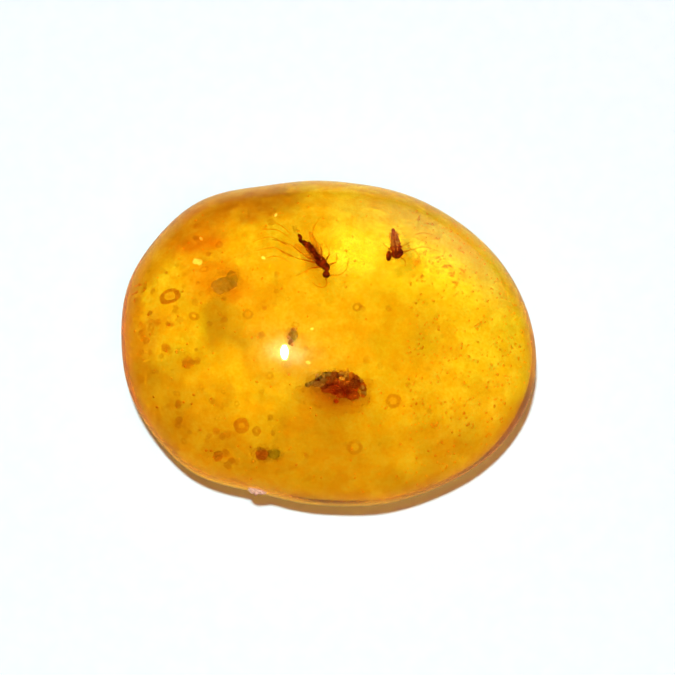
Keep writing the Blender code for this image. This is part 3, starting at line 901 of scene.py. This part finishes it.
def build_cells():
    bm = bmesh.new()
    for number, ((x, y), (length, width), depth, turn, hollow) in enumerate(CELLS):
        add_cell(bm, (x, y, 4.5), (length, width, depth), turn, hollow, number, rough=0.16, subdivisions=4)
    source = random.Random(11)
    for (x, y), (length, width), count in CROWDS:
        for number in range(count):
            heading = source.uniform(0, math.tau)
            away = source.random() ** 0.5
            centre = (x + math.cos(heading) * length * away, y + math.sin(heading) * width * away, source.uniform(3.6, 4.9))
            radius = source.uniform(0.08, 0.22)
            radii = (radius * source.uniform(1.0, 1.4), radius, radius * source.uniform(0.3, 0.8))
            hollow = source.choice((0.0, 0.0, 0.4))
            add_cell(bm, centre, radii, source.uniform(0, 180), hollow, 900 + number)
    return bm


def build_sparks():
    """Small round cracks, whose faces glow faintly with a painted glint."""
    bm = bmesh.new()
    for number, (centre, radius) in enumerate(SPARKS):
        radii = (radius, radius * 0.62, 0.02)
        add_ball(bm, centre, radii, turn=50 * number, tilt=4, rough=0.35, grain=1.6, seed=40 + number)
    return bm


def build_fibres():
    """Fine threads and flow lines beside the gnat and the fly."""
    bm = bmesh.new()
    threads = [
        [(-4.35, 5.1, 4.5), (-3.4, 5.35, 4.5), (-2.6, 5.0, 4.4), (-2.1, 4.75, 4.3)],
        [(-4.2, 4.55, 4.6), (-3.2, 4.75, 4.5), (-2.4, 4.35, 4.4), (-1.9, 4.2, 4.3)],
        [(-3.9, 5.8, 4.4), (-3.0, 5.75, 4.4), (-2.3, 5.35, 4.4)],
        [(-3.8, 4.1, 4.5), (-3.0, 4.25, 4.5), (-2.2, 3.9, 4.4)],
        [(-3.1, 6.2, 4.3), (-2.6, 5.9, 4.4), (-2.2, 5.5, 4.4)],
        [(4.7, 5.5, 4.5), (5.3, 5.75, 4.5), (6.1, 5.6, 4.5)],
        [(4.6, 4.7, 4.5), (5.4, 4.9, 4.5), (6.3, 4.65, 4.5)],
        [(-0.6, 6.4, 4.4), (-0.9, 5.9, 4.4), (-1.0, 5.3, 4.4)],
    ]
    for points in threads:
        add_tube(bm, smooth_path(points, 12), lambda t: 0.006 + 0.016 * math.sin(math.pi * t), sides=6)
    return bm


def build_chip():
    """The broken face of the chip: low ridges of fresh resin."""
    bm = bmesh.new()
    centre = CHIP_CENTRE + Vector((0, 0.34, 0.1))
    verts = add_ball(bm, centre, (0.48, 0.2, 0.26), turn=-8, rough=0.35, grain=3.0, seed=19, subdivisions=5)
    for vert in verts:
        vert.co.y += 0.03 * math.sin(14 * vert.co.z)
    return bm


def build_stain(lumps):
    bm = bmesh.new()
    for number, (pocket, centre, radii, turn) in enumerate(lumps):
        made = add_ball(bm, (0, 0, 0), radii, rough=0.35, grain=1.6, seed=70 + number, subdivisions=5)
        for vert in made:
            vert.co.z /= 1 + (1.6 * math.hypot(vert.co.x / radii[0], vert.co.y / radii[1])) ** 4
        turned = Matrix.Translation(centre) @ Matrix.Rotation(math.radians(turn), 4, "Z")
        bmesh.ops.transform(bm, matrix=pocket_place(pocket) @ turned, verts=made)
    return bm


def sealed(name, bm):
    bmesh.ops.transform(bm, matrix=pocket_place(name), verts=bm.verts)
    bmesh.ops.recalc_face_normals(bm, faces=bm.faces)
    return bm


def add_pieces():
    stone = piece(
        "amber_clear", build_amber(), [amber_look()], ("amber_dome", "amber_base")
    )
    paint_tones(stone.data)

    piece("resin_cells", build_cells(), [stained_look("amber_cells", *CELL)])
    piece("brown_stain", build_stain(BROWN_STAIN), [stained_look("brown_resin", *BROWN)])
    piece("olive_stain", build_stain(OLIVE_STAIN), [stained_look("olive_resin", *OLIVE)])

    body = grained_look("insect_body", (0.07, 0.005, 0.002), (0.3, 0.035, 0.01), 3.4, 0.4, 0.01)
    legs = clear_look("insect_legs", (0.4, 0.1, 0.02), (0.72, 0.28, 0.07), 0.4)
    membrane = grained_look(
        "insect_wings", (0.9, 0.62, 0.34), (0.99, 0.84, 0.6), 2.6, 0.15, 0.004, IOR=1.04, Transmission_Weight=1.0
    )
    veins = grained_look("insect_veins", (0.66, 0.26, 0.06), (0.84, 0.42, 0.1), 6.0, 0.5, 0.002)
    red = grained_look("insect_red", (0.1, 0.008, 0.003), (0.4, 0.06, 0.015), 3.0, 0.4, 0.01)
    abdomen = grained_look("insect_abdomen", (0.28, 0.035, 0.01), (0.5, 0.11, 0.02), 2.4, 0.4, 0.01)
    piece("gnat_detail", sealed("gnat", build_gnat()), [body, legs, membrane, veins], ("gnat",))
    fly_looks = [abdomen, legs, membrane, veins, red]
    piece("fly_detail", sealed("small_fly", build_fly()), fly_looks, ("small_fly",))

    bark_looks = [
        clear_look("bark_dark", (0.42, 0.1, 0.06), (0.66, 0.28, 0.16), 0.65),
        clear_look("bark_red", (0.76, 0.24, 0.08), (0.95, 0.5, 0.22), 0.82),
        grained_look("bark_pale", (0.75, 0.4, 0.2), (0.95, 0.8, 0.6), 4.0, 0.6, 0.02),
        clear_look("bark_grey", (0.7, 0.52, 0.5), (0.9, 0.74, 0.74), 0.72),
        clear_look("bark_haze", (0.95, 0.85, 0.74), (1.0, 0.95, 0.88), 0.97),
    ]
    piece("bark_detail", sealed("bark_fragment", build_bark()), bark_looks, ("bark_fragment",))
    seed_looks = [
        clear_look("seed_green", (0.5, 0.62, 0.12), (0.74, 0.66, 0.2), 0.6),
        grained_look("seed_stalk", (0.24, 0.08, 0.03), (0.5, 0.22, 0.09), 4.0, 0.6, 0.02),
        grained_look("seed_tip", (0.7, 0.3, 0.16), (0.9, 0.55, 0.35), 4.0, 0.5, 0.01),
        clear_look("seed_rind", (0.86, 0.64, 0.44), (0.96, 0.8, 0.6), 0.93),
    ]
    piece("seed_detail", sealed("seed_grain", build_seed()), seed_looks, ("seed_grain",))
    leaf_looks = [
        clear_look("leaf_pale", (0.9, 0.92, 1.0), (1.0, 1.0, 1.0), 0.62),
        clear_look("leaf_horn", (0.78, 0.78, 0.6), (0.92, 0.9, 0.74), 0.88),
    ]
    piece("leaf_detail", sealed("leaf_flake", build_leaf()), leaf_looks, ("leaf_flake",))
    frass_looks = [
        clear_look("frass_brown", (0.84, 0.52, 0.24), (0.96, 0.68, 0.36), 0.86),
        clear_look("frass_green", (0.74, 0.82, 0.3), (0.86, 0.9, 0.4), 0.86),
    ]
    piece("frass_detail", sealed("frass_pellets", build_frass()), frass_looks, ("frass_pellets",))

    speck_looks = [
        clear_look("speck_dark", (0.74, 0.4, 0.14), (0.88, 0.56, 0.24), 0.76),
        clear_look("speck_red", (0.86, 0.46, 0.16), (0.96, 0.64, 0.32), 0.76),
    ]
    piece("resin_specks", build_specks(), speck_looks)
    # Painted glint: the cracks glow faintly of themselves, standing in for light that they catch.
    painted_glint = grained_look("crack_painted_glint", (0.97, 0.97, 0.97), (1.0, 1.0, 1.0), 4.0, 0.3, 0.004,
                         Emission_Color=(1.0, 0.95, 0.3, 1), Emission_Strength=0.7)
    piece("resin_cracks", build_sparks(), [painted_glint])
    thread = grained_look("thread_look", (0.6, 0.25, 0.05), (0.85, 0.42, 0.1), 3.0, 0.5, 0.004)
    piece("resin_threads", build_fibres(), [thread])
    broken = grained_look("chip_look", (0.55, 0.37, 0.25), (0.78, 0.56, 0.41), 4.0, 0.5, 0.02)
    piece("rim_chip", build_chip(), [broken])


# The stage


def add_floor():
    bm = bmesh.new()
    bmesh.ops.create_grid(bm, x_segments=1, y_segments=1, size=1200)
    look = Look("paper")
    fibres = look.noise(0.9, 6.0)
    look.colour(look.mix(look.remap(fibres, 0.3, 0.7), (0.685, 0.885, 0.945), (0.708, 0.91, 0.97)))
    look.set(Roughness=0.9, Specular_IOR_Level=0.0)
    floor = mesh_object("floor", bm, [look.material])
    floor.location.z = -0.02 * MM
    floor.visible_glossy = False


def add_world():
    """A pale surround that lights the stone only through its resin."""
    world = bpy.data.worlds.new("world")
    bpy.context.scene.world = world
    world.use_nodes = True
    sky = world.node_tree.nodes["Background"]
    sky.inputs["Color"].default_value = (0.97, 1.0, 1.0, 1)
    sky.inputs["Strength"].default_value = 1.3
    world.cycles_visibility.diffuse = False
    world.cycles_visibility.glossy = False


def add_lamp(name, direction, distance, width, length, radiance, diffuse=True, glossy=True, transmission=True):
    """An elliptical lamp that looks at the stone from a direction, in metres, and the rays that see it."""
    light = bpy.data.lights.new(name, "AREA")
    light.shape = "ELLIPSE"
    light.size = width
    light.size_y = length
    light.energy = radiance * math.pi * (math.pi / 4 * width * length)
    obj = link(bpy.data.objects.new(name, light))
    direction = Vector(direction).normalized()
    obj.location = Vector((0, 0, LEVEL * MM)) + direction * distance
    across = (Vector((1, 0, 0)) - direction * direction.x).normalized()
    obj.rotation_euler = Matrix((across, direction.cross(across), direction)).transposed().to_euler()
    obj.visible_diffuse = diffuse
    obj.visible_glossy = glossy
    obj.visible_transmission = transmission
    return obj


def facing(direction, turn=0.0):
    """A lamp's axes when it looks at the stone from a direction, turned in degrees about its line of sight."""
    direction = Vector(direction).normalized()
    across = (Vector((1, 0, 0)) - direction * direction.x).normalized()
    axes = Matrix((across, direction.cross(across), direction)).transposed()
    return direction, (axes @ Matrix.Rotation(math.radians(turn), 3, "Z")).to_euler()


def add_glow(name, direction, distance, width, length, radiance, turn=0.0, seen_by=("glossy",), colour=(1, 1, 1)):
    """An elliptical glowing card, brightest at its middle, and the rays that see it."""
    bm = bmesh.new()
    bmesh.ops.create_circle(bm, cap_ends=True, segments=48, radius=1 / MM)
    look = Look(name)
    fade = look.nodes.new("ShaderNodeTexGradient")
    fade.gradient_type = "SPHERICAL"
    look.links.new(look.nodes["Texture Coordinate"].outputs["Object"], fade.inputs["Vector"])
    look.set(Base_Color=(0, 0, 0, 1), Specular_IOR_Level=0.0, Emission_Color=(*colour, 1))
    strength = look.remap(fade.outputs["Fac"], 0.0, 1.0, 0.0, radiance)
    look.links.new(strength, look.shader.inputs["Emission Strength"])
    card = mesh_object(name, bm, [look.material])
    way, card.rotation_euler = facing(direction, turn)
    card.location = Vector((0, 0, LEVEL * MM)) + way * distance
    card.scale = (width / 2, length / 2, 1)
    card.visible_camera = False
    card.visible_shadow = False
    card.visible_diffuse = "diffuse" in seen_by
    card.visible_glossy = "glossy" in seen_by
    card.visible_transmission = "transmission" in seen_by
    return card


def add_lights():
    """A soft lamp overhead, the glint of its core, its glow through the base, warm fill, and dim glossy haze."""
    lamp = add_lamp("overhead", (-0.04, -0.015, 1), 0.5, 0.03, 0.03, 1190, glossy=False)
    lamp.data.color = (0.87, 0.98, 1.0)
    add_glow("glint", (-0.096, 0.008, 0.995), 0.2, 0.006, 0.0265, 1200, turn=-10, colour=(1, 1, 0.35))
    add_glow("base_glow", (-0.09, -0.085, 0.992), 0.5, 0.08, 0.2, 30, seen_by=("transmission",))
    add_glow("base_sheen", (-0.27, -0.09, 0.96), 0.5, 0.34, 0.24, 16, seen_by=("transmission",))
    fill = add_lamp("fill", (0.1, -0.2, 0.97), 0.6, 0.7, 0.7, 1.9, glossy=False, transmission=False)
    fill.data.color = (1.0, 0.22, 0.14)
    add_glow("back_haze", (0.5, 0.75, 0.1), 0.5, 0.7, 0.7, 0.75, colour=(0.95, 1, 0.9))
    haze = add_glow("rim_haze", (0, 0, 1), 0, 0.066, 0.066, 0.8, colour=(1, 0.8, 0.5))
    haze.location = Vector((1, 7, -0.5)) * MM


ELEVATION = math.radians(76)
DISTANCE = 0.2
PIXELS_PER_MM = 16.6
IMAGE_PIXELS = 675
AIM = Vector((0.54 * MM, 0.3 * MM, 3.2 * MM))


def add_camera():
    camera = bpy.data.cameras.new("camera")
    rig = link(bpy.data.objects.new("camera", camera))
    rig.location = AIM + Vector((0, -math.cos(ELEVATION), math.sin(ELEVATION))) * DISTANCE
    rig.rotation_euler = (math.pi / 2 - ELEVATION, 0, 0)
    camera.lens = camera.sensor_width * DISTANCE / (IMAGE_PIXELS / PIXELS_PER_MM * MM)
    camera.clip_start = 0.01
    bpy.context.scene.camera = rig
    bpy.context.scene.view_settings.view_transform = "Standard"


add_pieces()
add_floor()
add_world()
add_lights()
add_camera()
